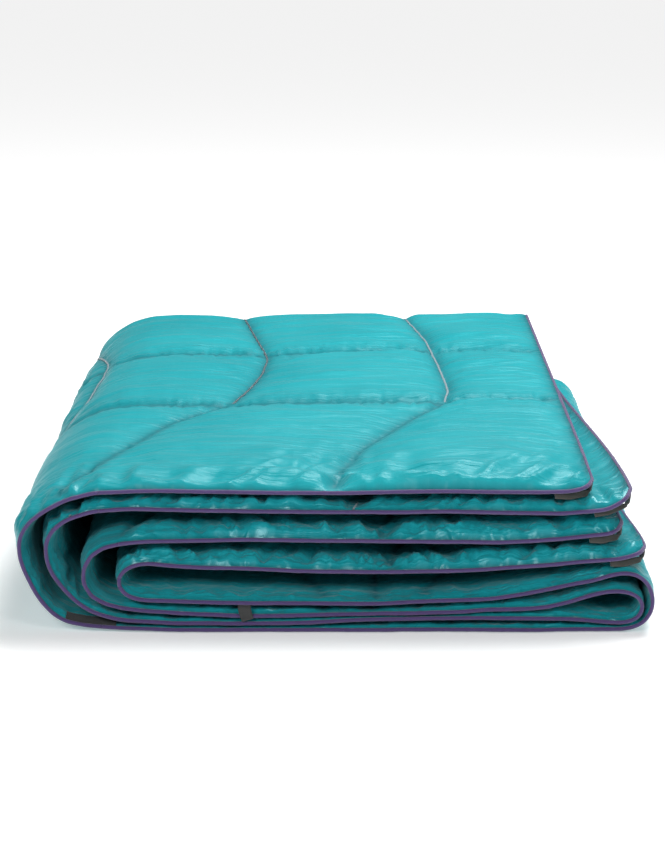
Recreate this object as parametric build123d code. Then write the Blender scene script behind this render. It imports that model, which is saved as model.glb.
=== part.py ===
"""Folded quilted camping blanket, millimetres.

The blanket is two plies thick (the cloth is folded once along its back edge) and that
doubled strip is then folded into four leaves. Every leaf and every fold is a sleeve:
a shell outside, a closed hairpin at the back, batting under it and a lining innermost.
X runs along the front edge, +Y is the closed back, +Z is up, and the origin is the
bottom centre.
"""

import os

from build123d import *

os.makedirs("parts", exist_ok=True)

# Overall size of the folded blanket
half_width = 245.0
half_depth = 335.0
stack_height = 125.0

# Leaf levels, bottom to top
bottom_leaf = (0.0, 14.0)
third_leaf = (14.4, 33.0)
second_leaf = (33.4, 86.0)
top_leaf = (86.4, stack_height)

# Cloth
skin = 0.5
layer_gap = 0.05
ply_gap = 0.1
open_end = 5.0
overcut = 1.0

# Trim
binding_radius = 1.9
webbing_width = 10.0
webbing_thickness = 1.1
trim_gap = 0.1
cord_width = 3.0
cord_height = 1.0

# Folds
outer_fold_radius = stack_height / 2
hinge_x = -half_width + outer_fold_radius
inner_fold_x = -168.0
hinge_gap = 0.3
bulb_radius = 24.5
bulb_core = 9.0
bulb_x = half_width - bulb_radius
slope_start = 140.0
fold_back_radius = 5.5
top_back_radius = 16.0
second_back_radius = 15.0

# Free short edges at the right
end_a, end_b = 191.0, 224.0
end_c, end_d = 216.5, 239.0
raised_bottom = 49.4
raised_from = 200.0
raised_foot = 130.0

# Front faces of the plies sit behind the binding and the side tab
front_y = -half_depth + webbing_thickness + 2 * trim_gap + 2 * binding_radius
binding_y = front_y - trim_gap - binding_radius

# Corner loops
recess_side = 40.0
recess_height = 1.6
loop_reach = 31.0

# Side tab and label
tab_x = -71.5
tab_drop = 13.0
label_angle = 38.0
label_tail = 11.0
label_height = 3.0
label_thickness = 0.6

# Seam cords: plan points on the top leaf, and the fold angle of the third one
cord_left = [
    (-180, -240), (-164, -195), (-142, -134), (-117, -98), (-93, -65), (-78, 4), (-68, 66),
    (-66, 131), (-80, 230), (-93, 308),
]
cord_right = [
    (-3, -320), (12, -250), (35, -185), (53, -144), (71, -102), (96, -72), (99, -15),
    (94, 96), (87, 200), (71, 314),
]
fold_cord_angle = 48.0


def middle(levels):
    return sum(levels) / 2


def prism(face, y_from, y_to, back_radius=0.0):
    """A profile in X and Z carried along Y, its back edges rounded."""
    solid = extrude(Plane.XZ.offset(-y_to) * face, y_to - y_from)
    if back_radius:
        edges = [
            e for e in solid.faces().sort_by(Axis.Y)[-1].edges()
            if e.geom_type == GeomType.CIRCLE or abs((e @ 1 - e @ 0).X) > open_end
        ]
        solid = fillet(edges, back_radius)
    return solid


def band(x_from, x_to, z_from, z_to):
    return Pos((x_from + x_to) / 2, (z_from + z_to) / 2) * Rectangle(x_to - x_from, z_to - z_from)


def slab(x_from, x_to, y_from, y_to, z_from, z_to):
    return Pos((x_from + x_to) / 2, (y_from + y_to) / 2, (z_from + z_to) / 2) * Box(
        x_to - x_from, y_to - y_from, z_to - z_from
    )


def sleeve(hull, core, back_radius, core_inset):
    """Shell, batting and lining of one doubled stretch of blanket.

    hull(d, over) is the outline taken in by d, core(d, over) is a strip reaching d
    either side of the line where the two plies meet.
    """
    front_over = front_y - open_end
    inner = skin + layer_gap
    core_back = half_depth - core_inset
    shell = prism(hull(0, 0), front_y, half_depth, back_radius) - prism(
        hull(skin, open_end), front_over, half_depth - skin, max(back_radius - skin, 0)
    )
    batting = prism(
        hull(inner, 0), front_y, half_depth - inner, max(back_radius - inner, 0)
    ) - prism(
        core(ply_gap + skin + layer_gap, open_end), front_over, core_back + skin + layer_gap
    )
    lining = prism(core(ply_gap + skin, 0), front_y, core_back + skin) - prism(
        core(ply_gap, open_end), front_over, core_back
    )
    return {"shell": shell, "batting": batting, "lining": lining}


def ring(x, outer, inner):
    """Left half of an eccentric ring; outer and inner are (low z, high z)."""
    face = Pos(x, middle(outer)) * Circle((outer[1] - outer[0]) / 2)
    face -= Pos(x, middle(inner)) * Circle((inner[1] - inner[0]) / 2)
    return face & band(x - 2 * half_width, x, -half_width, half_width)


def left_fold(x, outside, between, inside):
    def hull(d, over):
        return ring(x, (outside[0] + d, outside[1] - d), (inside[0] - d, inside[1] + d))

    def core(d, over):
        return ring(x, (between[0] - d, between[1] + d), (between[0] + d, between[1] - d))

    return sleeve(hull, core, fold_back_radius, (outside[1] - between[1]) / 2)


def bulb(low, high, radius, over):
    """Flat-bottomed outline that swells to a round bulb at the right fold."""
    left = hinge_x - over
    centre = bulb_radius
    outline = Polyline(
        (bulb_x, centre + radius), (slope_start, high), (left, high), (left, low),
        (slope_start, low), (bulb_x, centre - radius),
    )
    outline += ThreePointArc(
        (bulb_x, centre - radius), (bulb_x + radius, centre), (bulb_x, centre + radius)
    )
    return make_face(outline)


def lower_leaves():
    def hull(d, over):
        return bulb(bottom_leaf[0] + d, third_leaf[1] - d, bulb_radius - d, over) - bulb(
            bottom_leaf[1] - d, third_leaf[0] + d, bulb_core + d, over + overcut
        )

    def core(d, over):
        radius = (bulb_radius + bulb_core) / 2
        low, high = middle(bottom_leaf), middle(third_leaf)
        return bulb(low - d, high + d, radius + d, over) - bulb(
            low + d, high - d, radius - d, over + overcut
        )

    parts = sleeve(hull, core, 0, middle(bottom_leaf))
    beyond_inner_fold = slab(
        hinge_x - overcut, inner_fold_x, -half_depth, half_depth + overcut,
        middle((bottom_leaf[1], third_leaf[0])), third_leaf[1] + overcut,
    )
    return {name: solid - beyond_inner_fold for name, solid in parts.items()}


def upper_leaf(levels, start, upper_end, lower_end, foot, back_radius):
    """A leaf whose two plies end at different places; foot lifts its underside."""
    low, high = levels

    def hull(d, over):
        right = max(upper_end, lower_end) + over
        left = start - over
        if foot is None:
            return band(left, right, low + d, high - d)
        return make_face(Polyline(
            (left, low + d), (raised_foot, low + d), (raised_from, foot + d),
            (right, foot + d), (right, high - d), (left, high - d), close=True,
        ))

    def core(d, over):
        right = max(upper_end, lower_end) + over
        return band(start - over, right, middle(levels) - d, middle(levels) + d)

    return sleeve(hull, core, back_radius, (high - low) / 2)


def trimmed(parts, cuts):
    for cut in cuts:
        parts = {name: solid - cut for name, solid in parts.items()}
    return parts


def step_back(x_end, levels):
    """Takes the upper ply back to its own free edge."""
    return slab(
        x_end, half_width, -half_depth, half_depth + overcut, middle(levels),
        levels[1] + overcut,
    )


def recess(x_end, z):
    """Shallow pocket under a corner, where its loop lies."""
    return slab(
        x_end - recess_side, x_end + overcut, front_y - overcut, front_y + recess_side,
        z, z + recess_height,
    )


def corner_loop(x_end, z):
    """Webbing lying diagonally across the underside of a corner."""
    near = loop_reach - webbing_width * 2**0.5
    outline = Polyline(
        (x_end - loop_reach, front_y), (x_end - near, front_y), (x_end, front_y + near),
        (x_end, front_y + loop_reach), close=True,
    )
    return extrude(Plane.XY.offset(z + 2 * trim_gap) * make_face(outline), webbing_thickness)


def tube(points):
    """Round binding along straight runs, with a ball at every turn."""
    solid = None
    for a, b in zip(points, points[1:]):
        run = sweep(Plane(a, z_dir=Vector(*b) - Vector(*a)) * Circle(binding_radius), Line(a, b))
        solid = run if solid is None else solid + run
    for p in points[1:-1]:
        solid += Pos(*p) * Sphere(binding_radius)
    return solid


def free_edge_binding(start, levels, upper_end, lower_end, foot):
    """Front edge of the upper ply, its short edge, the back hairpin, and back again."""
    away = binding_radius + trim_gap
    back = half_depth - binding_radius
    upper_z = middle((middle(levels), levels[1]))
    lower_z = middle((middle(levels), levels[0]))
    end_z = middle((middle(levels), foot))
    return tube([
        (start, binding_y, upper_z), (upper_end + away, binding_y, upper_z),
        (upper_end + away, back, upper_z),
        (lower_end + away, back, middle(levels) + away + trim_gap),
        (lower_end + away, back, end_z), (lower_end + away, binding_y, end_z),
        (raised_from, binding_y, end_z), (raised_foot, binding_y, lower_z),
        (start, binding_y, lower_z),
    ])


def fold_binding(x, low, high):
    """Half ring of binding round a left fold, from one leaf to the next."""
    centre = (x - trim_gap, binding_y, middle((low, high)))
    start = Pos(centre[0], binding_y, high) * Rot(0, 90, 0) * Circle(binding_radius)
    return revolve(start, Axis(centre, (0, -1, 0)), 180)


def bulb_binding(low, high, radius, left):
    """Binding of one ply from the bottom leaf round the right fold to the third leaf."""
    def at(x, z):
        return (x, binding_y, z)

    path = Line(at(hinge_x, low), at(bulb_x, bulb_radius - radius))
    path += ThreePointArc(
        at(bulb_x, bulb_radius - radius), at(bulb_x + radius, bulb_radius),
        at(bulb_x, bulb_radius + radius),
    )
    path += Line(at(bulb_x, bulb_radius + radius), at(slope_start, high))
    path += Line(at(slope_start, high), at(left, high))
    start = Plane(at(hinge_x, low), z_dir=(1, 0, 0)) * Circle(binding_radius)
    return sweep(start, path, transition=Transition.ROUND)


def side_tab(z):
    """Flattened loop of webbing hung over the binding."""
    inner = binding_radius + trim_gap
    face = Pos(binding_y, z) * (Circle(inner + webbing_thickness) - Circle(inner))
    face &= band(binding_y - half_depth, binding_y, z, z + half_depth)
    face += band(
        binding_y - inner - webbing_thickness, binding_y - inner, z - tab_drop, z
    )
    plane = Plane.YZ.offset(tab_x - webbing_width / 2)
    return extrude(plane * face, webbing_width)


def label():
    """Small blank woven label that follows the foot of the outer fold."""
    low, high = middle(bottom_leaf), middle(top_leaf)
    radius = (high - low) / 2
    centre = (hinge_x, (low + high) / 2)
    face = Pos(*centre) * (
        Circle(radius + label_height / 2) - Circle(radius - label_height / 2)
    )
    wedge = make_face(Polyline(
        centre, (hinge_x, -half_width),
        tuple(Vector(*centre) + Vector(0, -2 * half_width).rotate(Axis.Z, -label_angle))[:2],
        close=True,
    ))
    face &= wedge
    face += band(
        hinge_x, hinge_x + label_tail, low - label_height / 2, low + label_height / 2
    )
    return prism(face, front_y - trim_gap - label_thickness, front_y - trim_gap)


def top_cord(points):
    line = Spline(*points)
    return extrude(Plane.XY.offset(stack_height) * trace(line, cord_width), cord_height)


def fold_cord():
    """Seam cord lying along the shoulder of the outer fold."""
    spread = cord_width / outer_fold_radius
    ring_face = Pos(hinge_x, stack_height / 2) * (
        Circle(outer_fold_radius + cord_height) - Circle(outer_fold_radius + layer_gap)
    )
    wedge = Pos(hinge_x, stack_height / 2) * Rot(0, 0, 90 + fold_cord_angle) * (
        Pos(half_width / 2, 0) * Rectangle(half_width, spread * outer_fold_radius)
    )
    return prism(ring_face & wedge, front_y + open_end, half_depth - 2 * fold_back_radius)


nodes = {}

lower = lower_leaves()
outer_fold = left_fold(
    hinge_x,
    (bottom_leaf[0], top_leaf[1]), (middle(bottom_leaf), middle(top_leaf)),
    (bottom_leaf[1], top_leaf[0]),
)
inner_fold = left_fold(
    inner_fold_x,
    (third_leaf[0], second_leaf[1]), (middle(third_leaf), middle(second_leaf)),
    (third_leaf[1], second_leaf[0]),
)
top = trimmed(
    upper_leaf(top_leaf, hinge_x + hinge_gap, end_a, end_b, None, top_back_radius),
    [step_back(end_a, top_leaf), recess(end_a, middle(top_leaf)), recess(end_b, top_leaf[0])],
)
second = trimmed(
    upper_leaf(
        second_leaf, inner_fold_x + hinge_gap, end_c, end_d, raised_bottom, second_back_radius
    ),
    [
        step_back(end_c, second_leaf), recess(end_c, middle(second_leaf)),
        recess(end_d, raised_bottom),
    ],
)
for stem, sleeve_parts in {
    "lower_leaves": lower, "outer_fold": outer_fold, "inner_fold": inner_fold,
    "top_leaf": top, "second_leaf": second,
}.items():
    for layer, solid in sleeve_parts.items():
        nodes[f"{stem}_{layer}"] = solid

outer_ply_low = middle((bottom_leaf[0], middle(bottom_leaf)))
inner_ply_low = middle((bottom_leaf[1], middle(bottom_leaf)))
third_upper = middle((third_leaf[1], middle(third_leaf)))
third_lower = middle((third_leaf[0], middle(third_leaf)))
second_upper = middle((second_leaf[1], middle(second_leaf)))
second_lower = middle((second_leaf[0], middle(second_leaf)))
top_upper = middle((top_leaf[1], middle(top_leaf)))
top_lower = middle((top_leaf[0], middle(top_leaf)))

nodes["top_leaf_binding"] = free_edge_binding(
    hinge_x + hinge_gap, top_leaf, end_a, end_b, top_leaf[0]
)
nodes["second_leaf_binding"] = free_edge_binding(
    inner_fold_x + hinge_gap, second_leaf, end_c, end_d, raised_bottom
)
nodes["lower_binding_outer_ply"] = bulb_binding(
    outer_ply_low, third_upper, bulb_radius - outer_ply_low, inner_fold_x
)
nodes["lower_binding_inner_ply"] = bulb_binding(
    inner_ply_low, third_lower, bulb_core + outer_ply_low, inner_fold_x
)
nodes["outer_fold_binding_outer_ply"] = fold_binding(hinge_x, outer_ply_low, top_upper)
nodes["outer_fold_binding_inner_ply"] = fold_binding(hinge_x, inner_ply_low, top_lower)
nodes["inner_fold_binding_outer_ply"] = fold_binding(inner_fold_x, third_upper, second_lower)
nodes["inner_fold_binding_inner_ply"] = fold_binding(inner_fold_x, third_lower, second_upper)

for letter, x_end, z in (
    ("a", end_a, middle(top_leaf)), ("b", end_b, top_leaf[0]),
    ("c", end_c, middle(second_leaf)), ("d", end_d, raised_bottom),
):
    nodes[f"corner_loop_{letter}"] = corner_loop(x_end, z)
nodes["side_tab"] = side_tab(third_upper)
nodes["label"] = label()
nodes["seam_cord_left"] = top_cord(cord_left)
nodes["seam_cord_right"] = top_cord(cord_right)
nodes["seam_cord_fold"] = fold_cord()

for node, solid in nodes.items():
    export_step(solid, f"parts/{node}.step")
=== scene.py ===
"""Folded quilted camping blanket: visual model, studio and camera."""
import math

import bpy
import numpy as np
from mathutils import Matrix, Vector


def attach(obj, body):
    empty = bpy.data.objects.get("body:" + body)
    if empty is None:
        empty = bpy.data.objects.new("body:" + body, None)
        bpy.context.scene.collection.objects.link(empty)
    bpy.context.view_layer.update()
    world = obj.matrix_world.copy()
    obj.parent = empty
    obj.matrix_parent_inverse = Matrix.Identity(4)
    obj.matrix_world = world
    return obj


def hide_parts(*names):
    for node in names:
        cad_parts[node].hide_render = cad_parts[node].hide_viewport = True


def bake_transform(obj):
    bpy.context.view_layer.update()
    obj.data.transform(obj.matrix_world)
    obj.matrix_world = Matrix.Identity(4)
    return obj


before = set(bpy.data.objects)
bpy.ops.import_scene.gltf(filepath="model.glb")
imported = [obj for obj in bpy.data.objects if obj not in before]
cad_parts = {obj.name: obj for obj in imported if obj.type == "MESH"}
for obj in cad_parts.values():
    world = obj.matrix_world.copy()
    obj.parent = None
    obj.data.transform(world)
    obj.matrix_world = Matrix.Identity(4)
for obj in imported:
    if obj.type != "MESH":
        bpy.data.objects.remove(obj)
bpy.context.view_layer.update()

MM = 0.001
HINGE_X = -0.1825  # where the outer left fold starts (m)
INNER_X = -0.168  # where the inner left fold starts
FRONT_Y = -0.3308
BACK_Y = 0.330
DEPTH = BACK_Y - FRONT_Y
CORNER_R = 0.013
BINDING_R = 0.0016
PINCH = 0.0012  # half the thickness of the cloth where it is sewn down
TILE_U = 0.62  # size of the quilting tile along the blanket and back from its edge
TILE_V = 0.67
SHIFT_X = -3.5  # brings the fold lines below onto the frame's centre (mm)

# Front edge line of each ply, from its top free corner round to its inner free corner (mm)
PLY_1 = [
    (199, 118), (192, 116), (181, 113.5), (158, 113), (90, 114), (13, 112.5), (-63, 113), (-124, 114),
    (-154, 114), (-183, 112.5), (-204, 107), (-221, 98), (-234, 88), (-241, 76), (-241, 62), (-237, 49),
    (-228, 30), (-218, 17), (-207, 9), (-192, 6), (-170, 4), (-126, 2.6), (-64, 2.4), (14, 2.4), (91, 2.6),
    (168, 2.6), (207, 2.6), (228, 3), (240, 7), (247, 17), (248, 28), (244, 40), (236, 47), (226, 49),
    (215, 47), (204, 43), (177, 37.5), (149, 32), (122, 27.5), (83, 26), (37, 24), (-25, 24), (-68, 24),
    (-125, 26), (-148, 26.5), (-160, 30), (-166, 39), (-164, 48), (-156, 54), (-143, 56.5), (-125, 54.5),
    (-102, 53), (-63, 52), (-25, 50), (37, 49.5), (83, 50), (116, 51), (138, 53), (171, 55.5), (193, 58),
    (219, 59.5), (242, 65),
]
PLY_2 = [
    (229, 111), (223, 106), (210, 99), (174, 96), (128, 97), (90, 98), (52, 97), (-25, 97.5), (-124, 99),
    (-155, 100), (-184, 98), (-204, 91.5), (-215, 83), (-220.5, 73), (-220.5, 60), (-217, 49), (-210, 38),
    (-200, 27), (-190, 19), (-177, 14), (-163, 10.5), (-126, 8), (-64, 7.6), (-25, 8.4), (14, 10.5),
    (83, 12), (139, 12), (183, 11.5), (208, 9), (224, 8), (236, 11), (241, 20), (238, 29), (227, 34),
    (215, 34), (199, 30.5), (183, 25), (166, 21), (149, 19.5), (122, 19), (100, 17), (83, 16.5), (14, 15),
    (-64, 13.6), (-102, 15), (-126, 16.5), (-148, 18), (-169, 21), (-183, 26), (-190, 33), (-193.5, 43),
    (-192, 53), (-187, 62), (-176, 69.5), (-155, 73), (-138, 74), (-63, 75), (52, 74), (128, 73),
    (174, 76), (215, 80), (223, 84),
]

# Quilting: wandering seams as (depth, distance from the free edge), and straight cross seams by depth (m)
SEAMS = [
    [(0, .200), (.05, .191), (.108, .177), (.150, .160), (.191, .142), (.233, .122), (.263, .103),
     (.320, .096), (.431, .101), (.535, .108), (.67, .127)],
    [(0, .412), (.04, .398), (.140, .360), (.201, .338), (.237, .313), (.270, .289), (.339, .273),
     (.401, .264), (.466, .261), (.56, .276), (.67, .292)],
    [(0, .585), (.04, .572), (.140, .530), (.201, .503), (.27, .454), (.35, .425), (.46, .417),
     (.498, .418), (.543, .428), (.613, .446), (.67, .460)],
]
CROSS = [
    [(0, .262), (.20, .268), (.36, .262), (.62, .272)],
    [(0, .462), (.12, .478), (.30, .470), (.62, .452)],
]


# ---------------------------------------------------------------- small maths
def smoothstep(t):
    t = np.clip(t, 0, 1)
    return t * t * (3 - 2 * t)


def seam_u(k, v):
    """Distance of a wandering seam from the free edge, at depth v."""
    depth, across = zip(*SEAMS[k])
    fine = np.linspace(0, TILE_V, 200)
    line = np.interp(fine, depth, across)
    line = np.convolve(np.pad(line, 8, mode="edge"), np.hanning(17) / np.hanning(17).sum(), "valid")
    return np.interp(v, fine, line)


def cross_v(k, u):
    at, depth = zip(*CROSS[k])
    return np.interp(u, at, depth)


def blur(a, passes):
    for _ in range(passes):
        for axis in (0, 1):
            b = np.swapaxes(a, 0, axis)
            p = np.concatenate([b[:1], b, b[-1:]])
            a = np.swapaxes(0.25 * p[:-2] + 0.5 * p[1:-1] + 0.25 * p[2:], 0, axis)
    return a


def wave_noise(x, y, scale_x, scale_y, seed, octaves=3):
    """Smooth repeatable noise from -1 to 1, of wavelength about scale."""
    rng = np.random.default_rng(seed)
    total = np.zeros(np.broadcast(x, y).shape)
    gain = 0.0
    for octave in range(octaves):
        for _ in range(5):
            angle = rng.uniform(0, 2 * math.pi)
            stretch = rng.uniform(0.7, 1.4) * 2**octave * 2 * math.pi
            phase = rng.uniform(0, 2 * math.pi)
            total = total + 0.5**octave * np.sin(
                stretch * (math.cos(angle) * x / scale_x + math.sin(angle) * y / scale_y) + phase
            )
        gain += 5 * 0.5**octave
    return total / gain * 1.8


def catmull(grid, fi, fj):
    """Cubic sample of grid (rows, columns, channels) at fractional indices."""
    n, m = grid.shape[:2]
    i, j = np.floor(fi).astype(int), np.floor(fj).astype(int)
    a, b = fi - i, fj - j

    def weights(t):
        return (
            -0.5 * t + t * t - 0.5 * t**3, 1 - 2.5 * t * t + 1.5 * t**3,
            0.5 * t + 2 * t * t - 1.5 * t**3, -0.5 * t * t + 0.5 * t**3,
        )

    out = 0
    for p, wp in enumerate(weights(a)):
        for q, wq in enumerate(weights(b)):
            cell = grid[np.clip(i + p - 1, 0, n - 1), np.clip(j + q - 1, 0, m - 1)]
            out = out + cell * (wp * wq)[..., None]
    return out


# ---------------------------------------------------------------- inflated quilt tile
def inflate():
    """Cloth under pressure, held at the quilting seams: rise and sideways drift of the skin."""
    pitch = 0.0048
    nu, nv = int(TILE_U / pitch) + 1, int(TILE_V / pitch) + 1
    us, vs = np.linspace(0, TILE_U, nu), np.linspace(0, TILE_V, nv)
    u, v = np.meshgrid(us, vs, indexing="ij")
    near_wander = np.minimum(u, TILE_U - u)
    for k in range(len(SEAMS)):
        slope = np.gradient(seam_u(k, vs), vs)
        near_wander = np.minimum(near_wander, np.abs(u - seam_u(k, v)) / np.sqrt(1 + slope[None] ** 2))
    near_cross = np.full(u.shape, 9.0)
    for k in range(len(CROSS)):
        near_cross = np.minimum(near_cross, np.abs(v - cross_v(k, u)))
    away = np.minimum(near_wander, near_cross)
    held = (away < pitch * 0.62) | (u < pitch / 2) | (v < pitch / 2)
    held |= u > TILE_U - pitch / 2
    rng = np.random.default_rng(5)
    start = np.stack([u, v, np.where(held, 0, 0.001 + 0.0012 * rng.random(u.shape))], -1)
    index = np.arange(nu * nv).reshape(nu, nv)
    quads = np.stack([index[:-1, :-1], index[1:, :-1], index[1:, 1:], index[:-1, 1:]], -1)
    mesh = bpy.data.meshes.new("inflate")
    mesh.from_pydata(start.reshape(-1, 3).tolist(), [], quads.reshape(-1, 4).tolist())
    obj = bpy.data.objects.new("inflate", mesh)
    bpy.context.collection.objects.link(obj)
    group = obj.vertex_groups.new(name="held")
    group.add([int(i) for i in index[held]], 1.0, "REPLACE")
    cloth = obj.modifiers.new("cloth", "CLOTH")
    s = cloth.settings
    s.quality, s.mass = 6, 0.12
    s.tension_stiffness, s.compression_stiffness, s.shear_stiffness = 20, 12, 6
    s.tension_damping, s.compression_damping, s.shear_damping = 8, 8, 6
    s.bending_stiffness, s.bending_damping, s.air_damping = 0.6, 0.5, 1.5
    s.vertex_group_mass = "held"
    s.shrink_min = s.shrink_max = -0.045
    s.use_pressure, s.uniform_pressure_force = True, 2.0
    s.effector_weights.gravity = 0
    cloth.collision_settings.use_collision = False
    cloth.collision_settings.use_self_collision = False
    frames = 22
    cloth.point_cache.frame_start, cloth.point_cache.frame_end = 1, frames
    for f in range(1, frames + 1):
        bpy.context.scene.frame_set(f)
    done = obj.evaluated_get(bpy.context.evaluated_depsgraph_get())
    co = np.empty(nu * nv * 3, np.float32)
    done.data.vertices.foreach_get("co", co)
    co = co.reshape(nu, nv, 3).astype(float)
    bpy.context.scene.frame_set(1)
    bpy.data.objects.remove(obj)
    bpy.data.meshes.remove(mesh)
    move = co - np.stack([u, v, 0 * u], -1)
    move[..., :2] = np.clip(move[..., :2], -0.004, 0.004)
    move[..., 2] = np.clip(move[..., 2], 0, 0.03)
    return np.concatenate([blur(move, 1), near_wander[..., None], near_cross[..., None]], -1), nu, nv


tile, tile_nu, tile_nv = inflate()


def reflect(u):
    u = np.mod(u, 2 * TILE_U)
    return np.where(u > TILE_U, 2 * TILE_U - u, u)


def tile_at(u, v):
    """(drift along u, drift along v, rise as a share of a full panel, distances to both kinds of seam)."""
    flip = np.where(np.mod(u, 2 * TILE_U) > TILE_U, -1.0, 1.0)
    got = catmull(
        tile, reflect(u) / TILE_U * (tile_nu - 1), np.clip(v, 0, TILE_V) / TILE_V * (tile_nv - 1)
    )
    return (
        got[..., 0] * flip, got[..., 1], np.clip(got[..., 2], 0, 1) / 0.0185,
        np.clip(got[..., 3], 0, 1), np.clip(got[..., 4], 0, 1),
    )


# ---------------------------------------------------------------- fold paths
def line_of(points):
    """Smooth line in x and z through the points, every millimetre, in metres."""
    p = np.array(points, float) + [SHIFT_X, 0]
    gap = np.concatenate([[0], np.cumsum(np.hypot(*np.diff(p, axis=0).T))])
    s = np.arange(0, gap[-1], 1.0)
    q = np.stack([np.interp(s, gap, p[:, 0]), np.interp(s, gap, p[:, 1])], -1)
    for _ in range(26):
        q[1:-1] = 0.25 * q[:-2] + 0.5 * q[1:-1] + 0.25 * q[2:]
    return q * MM


def split(line, crossings):
    """Index of each crossing, given as (x, towards), in order along the line."""
    found, i = [], 0
    for x, sign in crossings:
        while not ((line[i, 0] - x) * sign <= 0 and (line[i + 1, 0] - x) * sign > 0):
            i += 1
        found.append(i + (x - line[i, 0]) / (line[i + 1, 0] - line[i, 0]))
        i += 1
    return found


CROSSINGS = [(HINGE_X, -1), (HINGE_X, 1), (INNER_X, -1), (INNER_X, 1)]
SEGMENTS = ["top_leaf", "outer_fold", "lower_half", "inner_fold", "second_leaf"]
COLUMN_PITCH = [0.0032, 0.0032, 0.0036, 0.0030, 0.0034]


def columns(line, cuts, counts):
    at = []
    for (a, b), n in zip(zip(cuts, cuts[1:]), counts):
        part = np.linspace(a, b, n)
        at.append(part if not at else part[1:])
    at = np.concatenate(at)
    i = np.arange(len(line))
    p = np.stack([np.interp(at, i, line[:, 0]), np.interp(at, i, line[:, 1])], -1)
    tangent = np.gradient(line, axis=0)
    d = np.stack([np.interp(at, i, tangent[:, 0]), np.interp(at, i, tangent[:, 1])], -1)
    d /= np.linalg.norm(d, axis=1, keepdims=True)
    gap = np.concatenate([[0], np.cumsum(np.linalg.norm(np.diff(line, axis=0), axis=1))])
    return p, np.stack([d[:, 1], -d[:, 0]], -1), np.interp(at, i, gap)


line_1, line_2 = line_of(PLY_1), line_of(PLY_2)
cuts_1 = [0, *split(line_1, CROSSINGS), len(line_1) - 1]
cuts_2 = [0, *split(line_2, CROSSINGS), len(line_2) - 1]
counts = [max(8, int((b - a) * MM / pitch)) for a, b, pitch in zip(cuts_1, cuts_1[1:], COLUMN_PITCH)]
P1, N1, U1 = columns(line_1, cuts_1, counts)
P2, N2, _ = columns(line_2, cuts_2, counts)
N2 = -N2
NC = len(P1)
starts = np.concatenate([[0], np.cumsum(np.array(counts) - 1)])
ends = [starts[k] + counts[k] - 1 for k in range(len(SEGMENTS))]
starts = starts[:-1]
U_ALL = U1[-1]

# Share of the way through the lower half's right fold, 0 on the bottom leaf and 1 on the third
lower_t = np.clip((np.arange(NC) - starts[2]) / (ends[2] - starts[2]), 0, 1)
past_bulb = smoothstep((lower_t - 0.42) / 0.16)


def along(values):
    """One number per column, from (segment end values), easing along each segment."""
    out = np.zeros(NC)
    for k, (a, b) in enumerate(values):
        i = np.arange(starts[k], ends[k] + 1)
        out[i] = a + (b - a) * smoothstep((i - starts[k]) / (ends[k] - starts[k]))
    return out


# Loft of the outer and inner skins (m), per segment from start to end
LOFT = {
    "outer_1": along([(.0145, .0090), (.0090, .0034), (.0034, .0042), (.0042, .0085), (.0085, .0105)]),
    "outer_2": along([(.0090, .0085), (.0085, .0032), (.0032, .0036), (.0036, .0095), (.0095, .0105)]),
    "inner": along([(.0078, .0075), (.0075, .0028), (.0028, .0034), (.0034, .0085), (.0085, .0100)]),
}
LIP_CRUSH = 0.0056
LIP_FINE = 0.0030
# Plies rise to these levels away from the front edge (m)
RISE_1 = along([(0.0025, 0.0), (0, 0), (0, 0), (0, 0), (0, -0.003)])
RISE_1[starts[2]:ends[2] + 1] += 0.0022 * np.sin(np.pi * lower_t[starts[2]:ends[2] + 1])
RISE_2 = along([(-0.001, 0.0), (0, 0), (0, 0), (0, 0), (0, -0.0015)])

# Rows: fine at the two front edges, then back round the hairpin
front_rows = np.concatenate([
    np.linspace(0, 0.030, 13), 0.030 + np.cumsum(np.linspace(0.0026, 0.0044, 8)),
])
deep_rows = np.linspace(front_rows[-1], DEPTH, 146)[1:]
depth_rows = np.concatenate([front_rows, deep_rows])
turn = np.linspace(0, math.pi, 13)[1:-1]
ND, NT = len(depth_rows), len(turn)
NR = 2 * ND + NT


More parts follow.
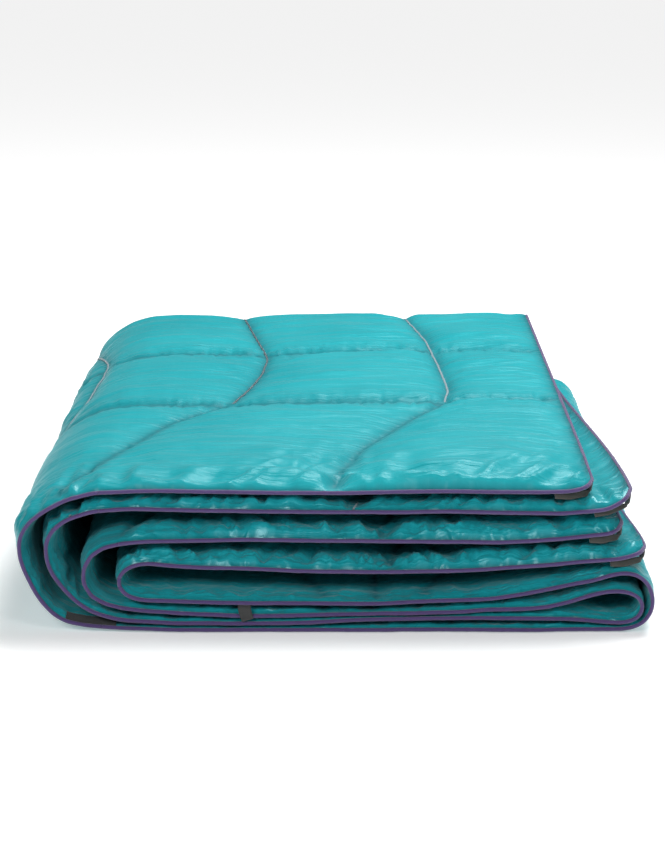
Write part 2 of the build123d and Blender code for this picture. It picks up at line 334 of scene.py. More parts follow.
def build_sheet():
    """Mid-surface, outward normal, tile coordinates for every column and row."""
    free = np.minimum(U1, U_ALL - U1)[:, None]
    inset = np.where(
        free < CORNER_R, CORNER_R - np.sqrt(np.clip(CORNER_R**2 - (CORNER_R - free) ** 2, 0, None)), 0
    )
    wander_1 = 0.0011 * wave_noise(U1[:, None], 0.0, 0.09, 1, 11) + 0.0004 * wave_noise(
        U1[:, None], 0.0, 0.022, 1, 12
    )
    wander_2 = 0.0013 * wave_noise(U1[:, None], 3.0, 0.08, 1, 13) + 0.0004 * wave_noise(
        U1[:, None], 0.0, 0.024, 1, 14
    )
    half = np.minimum(np.linalg.norm(P1 - P2, axis=1) / 2, 0.0145)[:, None]
    mid = np.zeros((NC, NR, 3))
    nrm = np.zeros((NC, NR, 3))
    depth = np.zeros((NC, NR))
    rows = depth_rows[None]
    for side, p, n, rise, wander in ((0, P1, N1, RISE_1, wander_1), (1, P2, N2, RISE_2, wander_2)):
        sel = np.arange(ND) if side == 0 else NR - 1 - np.arange(ND)
        straight = DEPTH - half
        y = inset + wander * np.exp(-rows / 0.05) + rows / DEPTH * (straight - inset)
        lift = rise[:, None] * smoothstep(rows / 0.09)
        mid[:, sel, 0] = p[:, :1]
        mid[:, sel, 2] = p[:, 1:] + lift
        mid[:, sel, 1] = FRONT_Y + y
        nrm[:, sel, 0], nrm[:, sel, 2] = n[:, :1], n[:, 1:]
        depth[:, sel] = rows / DEPTH * (straight - inset)
    # Behind the front, the short edges draw in under the top one
    for edge, ends_at in ((P2[0, 0], U1), (P1[-1, 0], U_ALL - U1), (P2[-1, 0], U_ALL - U1)):
        ply = slice(0, ND) if edge == P1[-1, 0] else slice(NR - ND, NR)
        spread = (edge - P1[0, 0] - 0.001) * smoothstep((0.14 - ends_at) / 0.13)[:, None]
        mid[:, ply, 0] -= spread * smoothstep((depth[:, ply] - 0.02) / 0.42)
    a1, a2 = mid[:, ND - 1], mid[:, NR - ND]
    centre = (a1 + a2) / 2
    for j, angle in enumerate(turn):
        c, s = math.cos(angle), math.sin(angle)
        row = ND + j
        mid[:, row] = centre + (a1 - centre) * c
        mid[:, row, 1] = centre[:, 1] + half[:, 0] * s
        flat = N1 * (1 + c) / 2 + N2 * (1 - c) / 2
        nrm[:, row, 0], nrm[:, row, 2], nrm[:, row, 1] = flat[:, 0], flat[:, 1], s
        depth[:, row] = DEPTH + 0.004 * s
    nrm /= np.linalg.norm(nrm, axis=2, keepdims=True)
    return mid, nrm, depth, half


mid, nrm, depth, half_gap = build_sheet()
first_ply = np.clip((ND + NT / 2 - np.arange(NR)) / NT + 0.5, 0, 1)[None]


def ridges(x, y, scale_x, scale_y, seed):
    """Sharp-crested folds, about 0 to 1."""
    return 1 - np.abs(wave_noise(x, y, scale_x, scale_y, seed, 2)).clip(0, 1) * 1.6


def skin(kind):
    """Outer or inner skin: the sheet's mid-surface moved out by the inflated tile."""
    u_a = np.broadcast_to(U1[:, None], depth.shape)
    w = past_bulb[:, None]
    got_a, got_b = tile_at(u_a, depth), tile_at(U_ALL - u_a, depth)
    du = got_a[0] * (1 - w) - got_b[0] * w
    dv, rise, near_wander, near_cross = (
        a * (1 - w) + b * w for a, b in zip(got_a[1:], got_b[1:])
    )
    if kind == "outer":
        loft = LOFT["outer_1"][:, None] * first_ply + LOFT["outer_2"][:, None] * (1 - first_ply)
        sign, seed = 1, 21
    else:
        loft = np.broadcast_to(LOFT["inner"][:, None], depth.shape)
        loft = np.minimum(loft, np.where(depth > DEPTH - 0.02, half_gap - PINCH - 0.0008, 1))
        sign, seed = -1, 31
    side = np.where(np.arange(NR) < NR / 2, 0.0, 7.0)[None]
    at_u = u_a + side
    open_wander = 1 - np.exp(-near_wander / 0.012)
    # The stuffed lip behind the binding stands up at once and is crushed into folds
    slant = at_u + 0.35 * depth * np.sin(at_u * 31)
    crush = ridges(slant, depth, 0.034, 0.11, seed)
    fine = ridges(slant + 0.5 * depth, depth, 0.019, 0.05, seed + 3)
    swell = 0.5 + 0.5 * wave_noise(at_u, depth, 0.075, 0.20, seed + 1, 2)
    # Faces turned up stand proud of the binding; faces turned down hang back from it
    up = smoothstep(0.25 + 1.2 * sign * nrm[..., 2])
    reach = 0.055 - 0.040 * up
    round_edge = np.sqrt(1 - (1 - np.clip(depth / reach, 0, 1)) ** 2) ** (1.6 - 0.6 * up)
    lip = np.exp(-depth / 0.16) * (0.35 + 0.65 * up)
    lip = lip * (0.50 + 0.30 * swell) * (0.18 + 0.82 * open_wander)
    wall = 0.86 * (1 - np.exp(-np.minimum(near_wander / 0.0135, near_cross / 0.0095)))
    rise = 0.45 * np.clip(rise, 0, 1.15) + 0.55 * wall * (0.85 + 0.3 * swell)
    # Between the wandering seams the cross seams ride up on the filling
    ride_up = 0.27 * up * (1 - np.exp(-near_wander / 0.045))
    rise = ride_up + (1 - ride_up) * rise
    rise = (rise**4 + lip**4) ** 0.25
    rise = rise * (1 - 0.35 * smoothstep((depth - 0.52) / 0.14)) * round_edge
    near_front = np.exp(-depth / 0.050) * (1 - np.exp(-depth / 0.0045))
    at_binding = np.exp(-depth / 0.022) * (1 - np.exp(-depth / 0.0025))
    soft = np.where((kind == "outer") & (np.arange(NC)[:, None] <= ends[0]), first_ply, 0.0)
    broad = ridges(slant + 0.4 * depth, depth, 0.060, 0.09, seed + 9)
    folds = LIP_CRUSH * (crush * (1 - soft) + broad * soft - 0.35) * near_front
    folds += LIP_FINE * (fine - 0.35) * at_binding * (1 - 0.75 * soft)
    folds = np.where(folds < 0, folds * round_edge**2, folds) * (0.15 + 0.85 * up)
    # Gathers square to the seams, and long pulls between the wandering seams
    pucker_w = ridges(depth + 0.2 * at_u, at_u, 0.020, 0.16, seed + 5) - 0.4
    pucker_c = ridges(at_u, depth, 0.014, 0.12, seed + 6) - 0.4
    pull = wave_noise(depth, at_u, 0.030, 0.24, seed + 7, 2)
    gathers = 0.0016 * pucker_w * np.exp(-near_wander / 0.030) * (1 - np.exp(-near_wander / 0.004))
    gathers += 0.0024 * pucker_c * np.exp(-near_cross / 0.016) * (1 - np.exp(-near_cross / 0.003))
    gathers += 0.0016 * pull * smoothstep(near_wander / 0.02) * smoothstep(near_cross / 0.02)
    shape = loft * rise + (folds + gathers * round_edge) * np.clip(loft / 0.009, 0, 1.15)
    height = PINCH * (0.30 + 0.70 * smoothstep(depth / 0.008)) + np.clip(shape, -0.0002, None)
    out = mid + sign * nrm * height[..., None]
    tangent = np.stack([nrm[..., 2], 0 * du, -nrm[..., 0]], -1)
    flow = np.where(np.arange(NR)[None] < NR / 2, -1.0, 1.0)
    strength = loft / 0.011
    drift = strength * (1 - np.exp(-depth / 0.008))
    out += tangent * (flow * du * drift)[..., None]
    out[..., 1] += dv * drift * np.where(depth < DEPTH - 0.02, 1, 0)
    out[..., 2] = np.maximum(out[..., 2], 0.0003)
    return out, np.minimum(near_wander * 0.8, near_cross * 0.42)


(outer, seam_gap), (inner, _) = skin("outer"), skin("inner")


def grid_normals(p, sign):
    a, b = np.gradient(p, axis=0), np.gradient(p, axis=1)
    n = np.cross(b, a)
    n /= np.maximum(np.linalg.norm(n, axis=2, keepdims=True), 1e-12)
    flip = np.sign((n * nrm * sign).sum(2, keepdims=True))
    return n * np.where(flip == 0, 1, flip)


outer_n, inner_n = grid_normals(outer, 1), grid_normals(inner, -1)
row_gap = np.linalg.norm(np.diff(mid, axis=1), axis=2).mean(0)
ROW_V = np.concatenate([[0], np.cumsum(row_gap)])


# ---------------------------------------------------------------- materials
def nodes_of(name):
    material = bpy.data.materials.new(name)
    material.use_nodes = True
    tree = material.node_tree
    return material, tree, tree.nodes["Principled BSDF"]


def add(tree, kind, inputs=(), **props):
    node = tree.nodes.new(kind)
    for key, value in props.items():
        setattr(node, key, value)
    for key, value in dict(inputs).items():
        if isinstance(value, bpy.types.NodeSocket):
            tree.links.new(value, node.inputs[key])
        else:
            node.inputs[key].default_value = value
    return node


def maths(tree, operation, a, b=0.0, clamp=False):
    return add(tree, "ShaderNodeMath", {0: a, 1: b}, operation=operation, use_clamp=clamp).outputs[0]


def ramp(tree, value, low, high, to_low=0.0, to_high=1.0):
    return add(tree, "ShaderNodeMapRange", {0: value, 1: low, 2: high, 3: to_low, 4: to_high}).outputs[0]


def nylon():
    """Shiny down-proof nylon: fine ripstop grid, streaky creases; painted shade in the seam valleys and on
    the bands by the front edges, where a dark line along the binding is partly the stitching.
    """
    material, tree, shader = nodes_of("nylon")
    uv = add(tree, "ShaderNodeUVMap", uv_map="cloth").outputs[0]
    xyz = add(tree, "ShaderNodeSeparateXYZ", {0: uv})
    streak_map = add(tree, "ShaderNodeMapping", {"Vector": uv, "Scale": (9, 95, 1)}).outputs[0]
    streak = add(
        tree, "ShaderNodeTexNoise", {"Vector": streak_map, "Scale": 1, "Detail": 4, "Distortion": 0.9})
    crease_map = add(tree, "ShaderNodeMapping", {"Vector": uv, "Scale": (55, 130, 1)}).outputs[0]
    crease = add(
        tree, "ShaderNodeTexNoise", {"Vector": crease_map, "Scale": 1, "Detail": 3, "Distortion": 1.4})
    grid = add(tree, "ShaderNodeMapping", {"Vector": uv, "Scale": (4200, 4200, 1)}).outputs[0]
    gx = add(tree, "ShaderNodeSeparateXYZ", {0: grid})
    weave = maths(
        tree, "MULTIPLY", maths(tree, "SINE", gx.outputs[0]), maths(tree, "SINE", gx.outputs[1]),
    )
    rip = maths(
        tree, "MAXIMUM",
        maths(tree, "GREATER_THAN", maths(tree, "FRACT", maths(tree, "MULTIPLY", xyz.outputs[0], 190)), 0.88),
        maths(tree, "GREATER_THAN", maths(tree, "FRACT", maths(tree, "MULTIPLY", xyz.outputs[1], 190)), 0.88),
    )
    edge = add(tree, "ShaderNodeAttribute", attribute_name="front_crush_and_shade").outputs["Fac"]
    crush_map = add(tree, "ShaderNodeMapping", {"Vector": uv, "Scale": (60, 95, 1)}).outputs[0]
    crush = add(
        tree, "ShaderNodeTexNoise", {"Vector": crush_map, "Scale": 1, "Detail": 3, "Distortion": 0.8},
        noise_type="RIDGED_MULTIFRACTAL",
    )
    b0 = add(tree, "ShaderNodeBump", {
        "Height": maths(tree, "MULTIPLY", crush.outputs[0], edge),
        "Distance": 0.0036, "Strength": 0.85})
    b1 = add(tree, "ShaderNodeBump", {
        "Height": streak.outputs[0], "Distance": 0.0032, "Strength": 0.95, "Normal": b0.outputs[0]})
    b2 = add(tree, "ShaderNodeBump", {
        "Height": crease.outputs[0], "Distance": 0.0009, "Strength": 0.42, "Normal": b1.outputs[0]})
    b3 = add(tree, "ShaderNodeBump", {
        "Height": weave, "Distance": 0.00003, "Strength": 0.25, "Normal": b2.outputs[0]})
    tree.links.new(b3.outputs[0], shader.inputs["Normal"])
    blotch = add(tree, "ShaderNodeTexNoise", {"Vector": uv, "Scale": 9.0, "Detail": 2})
    tint = add(tree, "ShaderNodeMix", {
        0: ramp(tree, blotch.outputs[0], 0.3, 0.7), 6: (0.006, 0.285, 0.325, 1), 7: (0.014, 0.335, 0.375, 1)},
        data_type="RGBA")
    ripped = add(tree, "ShaderNodeMix", {
        0: maths(tree, "MULTIPLY", rip, 0.10), 6: tint.outputs[2], 7: (0.012, 0.42, 0.47, 1)},
        data_type="RGBA")
    # Painted shade: the cloth near each front edge darkens, standing in for the shade in the gaps under the
    # plies above.
    front_shaded = add(tree, "ShaderNodeMix", {
        0: maths(tree, "MULTIPLY", edge, 0.30), 6: ripped.outputs[2], 7: (0.002, 0.150, 0.180, 1)},
        data_type="RGBA")
    # Painted shade in the seam valleys and along the bound front edge, where the dark line is partly the
    # stitching.
    seam = add(tree, "ShaderNodeAttribute", attribute_name="seam_shade").outputs["Fac"]
    seam_shaded = add(tree, "ShaderNodeMix", {
        0: maths(tree, "MULTIPLY", seam, 0.80), 6: front_shaded.outputs[2], 7: (0.001, 0.075, 0.100, 1)},
        data_type="RGBA")
    tree.links.new(seam_shaded.outputs[2], shader.inputs["Base Color"])
    rough = ramp(tree, crease.outputs[0], 0.3, 0.75, 0.37, 0.50)
    rough = maths(tree, "SUBTRACT", rough, maths(tree, "MULTIPLY", edge, 0.12))
    tree.links.new(rough, shader.inputs["Roughness"])
    gloss = maths(tree, "ADD", maths(tree, "MULTIPLY", edge, 0.36), 0.17)
    tree.links.new(gloss, shader.inputs["Specular IOR Level"])
    shader.inputs["Specular Tint"].default_value = (0.62, 0.96, 1.0, 1)
    shader.inputs["Sheen Weight"].default_value = 0.17
    shader.inputs["Sheen Roughness"].default_value = 0.45
    shader.inputs["Sheen Tint"].default_value = (0.55, 0.95, 1.0, 1)
    return material


def knit(name, dark, light, pitch, rough=0.75, sheen=0.3):
    """Woven or knitted tape: fine diagonal ribs along its length."""
    material, tree, shader = nodes_of(name)
    uv = add(tree, "ShaderNodeUVMap", uv_map="cloth").outputs[0]
    xyz = add(tree, "ShaderNodeSeparateXYZ", {0: uv})
    along_tape = maths(tree, "MULTIPLY", xyz.outputs[0], 2 * math.pi / pitch)
    across = maths(tree, "MULTIPLY", xyz.outputs[1], 2 * math.pi / pitch)
    rib = maths(tree, "SINE", maths(tree, "ADD", along_tape, across))
    counter = maths(tree, "SINE", maths(tree, "SUBTRACT", along_tape, across))
    height = maths(tree, "MULTIPLY", rib, counter)
    fuzz = add(tree, "ShaderNodeTexNoise", {"Vector": uv, "Scale": 900.0, "Detail": 2})
    colour = add(tree, "ShaderNodeMix", {
        0: ramp(tree, maths(tree, "ADD", height, fuzz.outputs[0]), -0.6, 1.5),
        6: (*dark, 1), 7: (*light, 1)}, data_type="RGBA")
    tree.links.new(colour.outputs[2], shader.inputs["Base Color"])
    bump = add(tree, "ShaderNodeBump", {"Height": height, "Distance": 0.00012, "Strength": 0.6})
    tree.links.new(bump.outputs[0], shader.inputs["Normal"])
    shader.inputs["Roughness"].default_value = rough
    shader.inputs["Sheen Weight"].default_value = sheen
    return material


NYLON = nylon()
BINDING = knit("binding", (0.026, 0.013, 0.078), (0.078, 0.038, 0.170), 0.0009)
CORD = knit("seam_cord", (0.07, 0.15, 0.18), (0.24, 0.33, 0.37), 0.0012, 0.6)
LOOP = knit("loop_webbing", (0.006, 0.007, 0.006), (0.042, 0.041, 0.032), 0.0014, 0.7)
TAB = knit("tab_webbing", (0.006, 0.007, 0.007), (0.026, 0.027, 0.027), 0.0012, 0.65)
LABEL = knit("label_satin", (0.004, 0.004, 0.004), (0.012, 0.011, 0.011), 0.0006, 0.45)


# ---------------------------------------------------------------- mesh helpers
def mesh_object(name, points, faces, uvs, material, normals=None):
    mesh = bpy.data.meshes.new(name)
    mesh.from_pydata(points.tolist(), [], faces.tolist())
    layer = mesh.uv_layers.new(name="cloth")
    loops = np.empty(len(mesh.loops), np.int32)
    mesh.loops.foreach_get("vertex_index", loops)
    layer.data.foreach_set("uv", uvs[loops].astype(np.float32).ravel())
    mesh.polygons.foreach_set("use_smooth", np.ones(len(mesh.polygons), bool))
    mesh.materials.append(material)
    if normals is not None:
        mesh.normals_split_custom_set_from_vertices(normals.tolist())
    obj = bpy.data.objects.new(name, mesh)
    bpy.context.collection.objects.link(obj)
    return obj


def grid_faces(n, m, offset=0, flip=False):
    i = np.arange(n * m).reshape(n, m) + offset
    q = np.stack([i[:-1, :-1], i[1:, :-1], i[1:, 1:], i[:-1, 1:]], -1).reshape(-1, 4)
    return q[:, ::-1] if flip else q


def quilt_piece(name, k):
    """One stretch of the blanket as a closed stuffed sleeve."""
    c = slice(starts[k], ends[k] + 1)
    n, m = ends[k] + 1 - starts[k], NR
    points = np.concatenate([outer[c].reshape(-1, 3), inner[c].reshape(-1, 3)])
    normals = np.concatenate([outer_n[c].reshape(-1, 3), inner_n[c].reshape(-1, 3)])
    uv = np.stack([np.repeat(U1[c], m), np.tile(ROW_V, n)], -1)
    total = n * m
    # Painted shade: darker in the seam valleys, and a dark line along the bound front edge, partly the
    # stitching and partly painted shade.
    shade = np.maximum(np.exp(-seam_gap[c] / 0.0035) * smoothstep(depth[c] / 0.012),
                       0.80 * np.exp(-depth[c] / 0.0011)).ravel()
    i = np.arange(total).reshape(n, m)
    rim = []
    for edge, turn_over in ((i[0], False), (i[-1], True), (i[:, 0], True), (i[:, -1], False)):
        q = np.stack([edge[:-1], edge[1:], edge[1:] + total, edge[:-1] + total], -1)
        rim.append(q[:, ::-1] if turn_over else q)
    faces = np.concatenate([grid_faces(n, m, 0, True), grid_faces(n, m, total), *rim])
    obj = mesh_object(name, points, faces, np.concatenate([uv, uv]), NYLON, normals)
    layer = obj.data.attributes.new("seam_shade", "FLOAT", "POINT")
    layer.data.foreach_set("value", np.concatenate([shade, shade]).astype(np.float32))
    # Mask by the front edge, weaker on the top leaf's upper side: it drives the crinkle bump, more gloss and
    # a painted shade there.
    front = 0.06 + 0.94 * np.exp(-depth[c] / 0.030)
    upper = front * (1 - 0.65 * first_ply) if k == 0 else front
    layer = obj.data.attributes.new("front_crush_and_shade", "FLOAT", "POINT")
    layer.data.foreach_set("value", np.concatenate([upper.ravel(), front.ravel()]).astype(np.float32))
    return obj


def tube(name, path, radius, material, sides=12, flat=1.0, up=None):
    """Round or flattened strip along a line of points, closed at its ends."""
    path = np.array(path, float)
    step = np.gradient(path, axis=0)
    step /= np.linalg.norm(step, axis=1, keepdims=True)
    side = np.zeros_like(path)
    if up is None:
        ref = np.cross(step[0], [0.0, 0.0, 1.0])
        if np.linalg.norm(ref) < 0.2:
            ref = np.cross(step[0], [0.0, 1.0, 0.0])
        for i, t in enumerate(step):
            ref = ref - t * (ref @ t)
            ref /= np.linalg.norm(ref)
            side[i] = ref
    else:
        side = np.cross(step, up)
        side /= np.linalg.norm(side, axis=1, keepdims=True)
    rise = np.cross(side, step)
    angle = np.linspace(0, 2 * math.pi, sides, endpoint=False)
    radius = np.broadcast_to(np.asarray(radius, float), (len(path),))
    ring = (
        path[:, None]
        + side[:, None] * (np.cos(angle)[None, :, None] * radius[:, None, None])
        + rise[:, None] * (np.sin(angle)[None, :, None] * radius[:, None, None] * flat)
    )
    n = len(path)
    points = np.concatenate([ring.reshape(-1, 3), path[:1], path[-1:]])
    i = np.arange(n * sides).reshape(n, sides)
    j = np.roll(i, -1, axis=1)
    quads = np.stack([i[:-1], i[1:], j[1:], j[:-1]], -1).reshape(-1, 4)
    caps = [[i[0, a], j[0, a], n * sides] for a in range(sides)]
    caps += [[j[-1, a], i[-1, a], n * sides + 1] for a in range(sides)]
    gap = np.concatenate([[0], np.cumsum(np.linalg.norm(np.diff(path, axis=0), axis=1))])
    uv = np.stack([np.repeat(gap, sides), np.tile(angle * radius.mean(), n)], -1)
    uv = np.concatenate([uv, uv[:1], uv[-1:]])
    mesh = bpy.data.meshes.new(name)
    mesh.from_pydata(points.tolist(), [], quads.tolist() + [[int(x) for x in c] for c in caps])
    layer = mesh.uv_layers.new(name="cloth")
    loops = np.empty(len(mesh.loops), np.int32)
    mesh.loops.foreach_get("vertex_index", loops)
    layer.data.foreach_set("uv", uv[loops].astype(np.float32).ravel())
    mesh.polygons.foreach_set("use_smooth", np.ones(len(mesh.polygons), bool))
    mesh.materials.append(material)
    obj = bpy.data.objects.new(name, mesh)
    bpy.context.collection.objects.link(obj)
    return obj


def go(obj, k):
    """Joins a piece of segment k to the body that moves it; pieces of the two folds are only baked in place.
    """
    if k == 1:
        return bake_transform(obj)
    if k == 3:
        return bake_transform(obj)
    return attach(obj, SEGMENTS[k])


# ---------------------------------------------------------------- quilt, binding and cords
CAD_STEMS = ["top_leaf", "outer_fold", "lower_leaves", "inner_fold", "second_leaf"]
for k, stem in enumerate(CAD_STEMS):
    piece = quilt_piece(f"{stem}_quilt", k)
    go(piece, k)
    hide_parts(f"{stem}_shell", f"{stem}_batting", f"{stem}_lining")


BINDING_OUT = 0.0012  # the binding's centre stands this far in front of the cloth
SHORT_EDGE_OUT = 0.0010
BINDING_PITCH = 0.0018
CORD_R = 0.0010
CORD_LIFT = 0.0003
CORD_SINK = 0.0026  # nearer the front the cord sinks into its seam
CORD_SHOWS_FROM = 0.30  # depth where it comes up (m)


def settle(line, passes):
    """Evens out a line in place, its ends held."""
    for _ in range(passes):
        line[1:-1] = 0.25 * line[:-2] + 0.5 * line[1:-1] + 0.25 * line[2:]


def length_along(line):
    """Distance of each point along a line, from 0."""
    return np.concatenate([[0], np.cumsum(np.linalg.norm(np.diff(line, axis=0), axis=1))])


def edge_line(ply, k):
    """Centre of the binding on the front edge of one ply, over segment k."""
    row = 0 if ply == 1 else NR - 1
    line = mid[starts[k]:ends[k] + 1, row].copy()
    line[:, 1] -= BINDING_OUT
    return line


def dense(line, pitch=BINDING_PITCH):
    """The same line with a point at every pitch."""
    gap = length_along(line)
    s = np.linspace(0, gap[-1], max(4, int(gap[-1] / pitch)))
    return np.stack([np.interp(s, gap, line[:, a]) for a in range(3)], -1)


def binding(name, line, k, cad):
    """Round bound edge along the line, on segment k."""
    line = dense(line)
    settle(line, 4)
    gap = np.arange(len(line)) * BINDING_PITCH
    radius = BINDING_R * (1 + 0.07 * wave_noise(gap, 0.0, 0.012, 1, 41 + k))
    piece = go(tube(name, line, radius, BINDING), k)
    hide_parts(cad)


def free_loop(k, column):
    """Binding line of a free-ended leaf: one front edge, the short edge, the other front edge."""
    short = mid[column].copy()
    short[:, 0] += SHORT_EDGE_OUT
    first, second = edge_line(1, k), edge_line(2, k)
    if column == 0:
        return np.concatenate([first[::-1], short[1:-1], second])
    return np.concatenate([first, short[1:-1], second[::-1]])


binding("top_leaf_edge", free_loop(0, 0), 0, "top_leaf_binding")
binding("second_leaf_edge", free_loop(4, NC - 1), 4, "second_leaf_binding")
for k, stem in ((1, "outer_fold_binding"), (2, "lower_binding"), (3, "inner_fold_binding")):
    binding(f"{stem}_outer_edge", edge_line(1, k), k, f"{stem}_outer_ply")
    binding(f"{stem}_inner_edge", edge_line(2, k), k, f"{stem}_inner_ply")


def seam_cord(name, k, u_line, cad):
    """Flat cord in a wandering seam, over the part of it that lies on segment k."""
    inside = (u_line >= U1[starts[k]] - 1e-9) & (u_line <= U1[ends[k]] + 1e-9)
    if inside.sum() < 4:
        return
    run = np.flatnonzero(inside)
    run = np.arange(run[0], run[-1] + 1)
    col = np.interp(u_line[run], U1, np.arange(NC))
    both = np.concatenate([outer, outer_n], -1)
    i0, f = np.floor(col).astype(int), (col - np.floor(col))[:, None]
    i1 = np.minimum(i0 + 1, NC - 1)
    at = both[i0, run] * (1 - f) + both[i1, run] * f
    line, up = at[:, :3], at[:, 3:]
    settle(line, 3)
    settle(up, 3)
    up /= np.linalg.norm(up, axis=1, keepdims=True)
    sunk = smoothstep((CORD_SHOWS_FROM - row_depth[run]) / 0.07)[:, None]
    lift = CORD_LIFT - CORD_SINK * sunk
    piece = tube(name, line + up * lift, CORD_R, CORD, 10, 0.5, up)
    go(piece, k)
    if cad:
        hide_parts(cad)


row_depth = depth[NC // 2]
CORD_CAD = {"seam_cord_0_top_leaf": "seam_cord_right", "seam_cord_1_top_leaf": "seam_cord_left",
            "seam_cord_2_outer_fold": "seam_cord_fold"}
for s in range(len(SEAMS)):
    line = seam_u(s, np.minimum(row_depth, TILE_V))
    for k in (0, 1):
        name = f"seam_cord_{s}_{CAD_STEMS[k]}"
        seam_cord(name, k, line, CORD_CAD.get(name))


# ---------------------------------------------------------------- webbing and label
STRAP_PITCH = 0.0008
LOOP_REACH = 0.030  # how far along the front edge a corner loop starts (m)
LOOP_SIDE_REACH = 0.021  # and along the short edge
LOOP_DOWN = -0.0028
LABEL_LENGTH = 0.029
TAB_X = -0.0715


def strap(name, path, across, thickness, material, k, cad):
    """Flat webbing: a rounded strip of the given width along a path, lying square to across."""
    path = dense(np.array(path, float), STRAP_PITCH)
    settle(path, 6)
    n = len(path)
    across = np.broadcast_to(np.array(across, float), (n, 3))
    step = np.gradient(path, axis=0)
    step /= np.linalg.norm(step, axis=1, keepdims=True)
    across = across - step * (across * step).sum(1, keepdims=True)
    width = np.linalg.norm(across, axis=1, keepdims=True)
    unit = across / width
    normal = np.cross(step, unit)
    cols = np.linspace(-1, 1, 13)
    points, uv = [], []
    gap = length_along(path)
    for side in (1, -1):
        for c in cols[::side]:
            edge = math.sqrt(max(0.0, 1 - abs(c) ** 8))
            points.append(path + across * c / 2 + normal * side * thickness / 2 * edge)
            uv.append(np.stack([gap, np.full(n, c * float(width.mean()) / 2 + side)], -1))
    ring = np.stack(points, 1)
    m = ring.shape[1]
    i = np.arange(n * m).reshape(n, m)
    j = np.roll(i, -1, axis=1)
    faces = np.stack([i[:-1], i[1:], j[1:], j[:-1]], -1).reshape(-1, 4)
    caps = []
    for end, order in ((i[0], 1), (i[-1], -1)):
        a, b = end[: m // 2], end[m // 2:][::-1]
        q = np.stack([a[:-1], a[1:], b[1:], b[:-1]], -1)
        caps.append(q[:, ::order])
    faces = np.concatenate([faces, *caps])
    piece = mesh_object(name, ring.reshape(-1, 3), faces, np.stack(uv, 1).reshape(-1, 2), material)
    go(piece, k)
    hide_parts(cad)


def corner(name, column, ply, k, cad, drop):
    """Loop of webbing slung diagonally under one corner."""
    row = 0 if ply == 1 else NR - 1
    step = 1 if column == 0 else -1
    span = int(LOOP_REACH / abs(U1[column + step] - U1[column]))
    a = mid[column + step * span, row] + [0, 0.0005, LOOP_DOWN]
    side_row = int(np.searchsorted(depth_rows, LOOP_SIDE_REACH))
    b = mid[column, side_row if ply == 1 else NR - 1 - side_row] + [0.0005, 0, LOOP_DOWN]
    tip = mid[column, row]
    bow = (a + b) / 2 * 0.25 + tip * 0.75 + np.array([0.0015, -0.0015, -drop])
    path = [a, (a + bow) / 2 + [0, -0.001, -0.0012], bow, (b + bow) / 2 + [0.001, 0, -0.0012], b]
    strap(name, path, (0.0050, 0.0050, 0.0050), 0.0018, LOOP, k, cad)


corner("corner_loop_a_webbing", 0, 1, 0, "corner_loop_a", 0.0080)
corner("corner_loop_b_webbing", 0, 2, 0, "corner_loop_b", 0.0095)
corner("corner_loop_c_webbing", NC - 1, 2, 4, "corner_loop_c", 0.0090)
corner("corner_loop_d_webbing", NC - 1, 1, 4, "corner_loop_d", 0.0080)

third = np.arange(int((starts[2] + ends[2]) / 2), ends[2])
tab_column = third[np.argmin(np.abs(mid[third, 0, 0] - TAB_X))]
hook = mid[tab_column, 0] + [0, -0.0012, 0]
strap(
    "side_tab_webbing",
    [hook + [0, 0.006, -0.0016], hook + [0, 0.001, -0.0019], hook + [0, -0.0018, -0.0022],
     hook + [0, -0.0030, -0.0034], hook + [0.0008, -0.0031, -0.0070], hook + [0.0026, -0.0028, -0.0128]],
    (0.0102, 0, 0), 0.0013, TAB, 2, "side_tab",
)

label_columns = np.arange(ends[1] - int(LABEL_LENGTH / COLUMN_PITCH[1]), ends[1] + 4)
label_path = mid[label_columns, 0] - nrm[label_columns, 0] * 0.0030 + [0, 0.0035, 0]
strap("woven_label", label_path, (0, 0.007, 0.0045), 0.0008, LABEL, 1, "label")


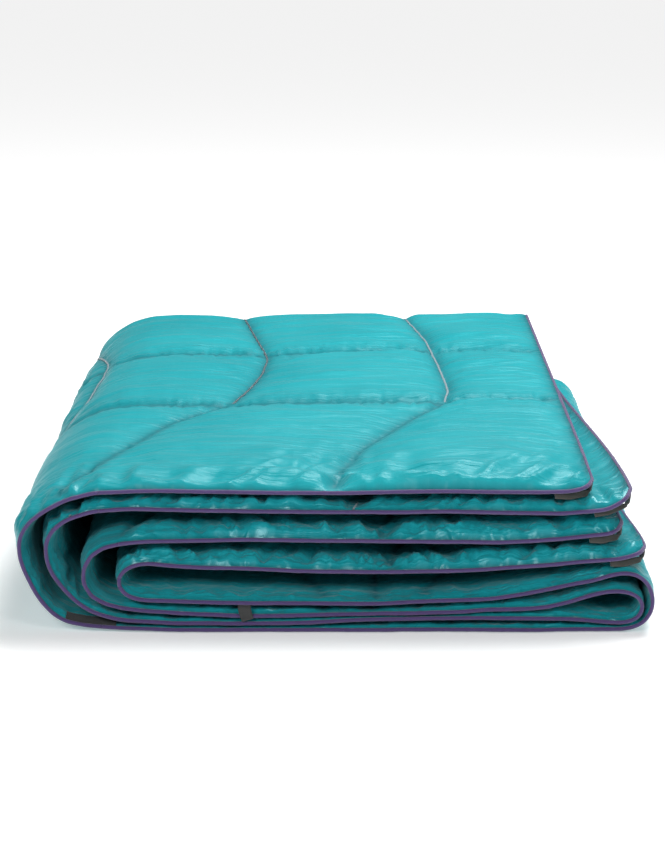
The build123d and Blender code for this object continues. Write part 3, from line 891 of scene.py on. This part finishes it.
# ---------------------------------------------------------------- studio
def floor():
    material, tree, shader = nodes_of("studio_floor")
    where = add(tree, "ShaderNodeTexCoord").outputs["Object"]
    away = add(tree, "ShaderNodeVectorMath", {0: where}, operation="LENGTH").outputs["Value"]
    glow = ramp(tree, away, 0.35, 1.4, 0.27, 0.85)
    shader.inputs["Base Color"].default_value = (0.82, 0.82, 0.82, 1)
    shader.inputs["Roughness"].default_value = 0.9
    shader.inputs["Emission Color"].default_value = (1, 1, 1, 1)
    tree.links.new(glow, shader.inputs["Emission Strength"])
    half = 60.0
    corners = [(-half, -half, 0), (half, -half, 0), (half, half, 0), (-half, half, 0)]
    mesh = bpy.data.meshes.new("studio_floor")
    mesh.from_pydata(corners, [], [(0, 1, 2, 3)])
    mesh.materials.append(material)
    obj = bpy.data.objects.new("studio_floor", mesh)
    bpy.context.collection.objects.link(obj)


def softbox(name, at, look, width, height, power):
    """Rectangular area light at a place, turned towards another."""
    light = bpy.data.lights.new(name, "AREA")
    light.shape, light.size, light.size_y = "RECTANGLE", width, height
    light.energy = power
    obj = bpy.data.objects.new(name, light)
    obj.location = at
    obj.rotation_euler = (Vector(look) - Vector(at)).to_track_quat("-Z", "Y").to_euler()
    bpy.context.collection.objects.link(obj)


floor()
softbox("top_box", (0.40, 0.30, 1.50), (0, 0.0, 0.1), 1.1, 0.8, 36)
softbox("front_left", (-0.8, -2.0, 1.25), (0, 0, 0.05), 1.0, 0.6, 25)
softbox("front_right", (1.2, -1.9, 1.05), (0, 0, 0.05), 0.7, 0.5, 13)

world = bpy.data.worlds.new("studio")
world.use_nodes = True
world.node_tree.nodes["Background"].inputs[0].default_value = (1, 1, 1, 1)
world.node_tree.nodes["Background"].inputs[1].default_value = 0.035
scene = bpy.context.scene
scene.world = world
scene.view_settings.view_transform = "Standard"
scene.view_settings.look = "None"

IMAGE_HEIGHT = 865
FOCAL_PIXELS = 2350  # focal length for an image of that height
SENSOR = 36
CAMERA_DOWN = 14.128  # degrees below level
camera_data = bpy.data.cameras.new("camera")
camera_data.lens = FOCAL_PIXELS * SENSOR / IMAGE_HEIGHT
camera_data.sensor_width = SENSOR
camera = bpy.data.objects.new("camera", camera_data)
camera.location = (-0.0035, -0.335 - 1.7265, 0.5955)
camera.rotation_euler = (math.radians(90 - CAMERA_DOWN), 0, 0)
bpy.context.collection.objects.link(camera)
scene.camera = camera
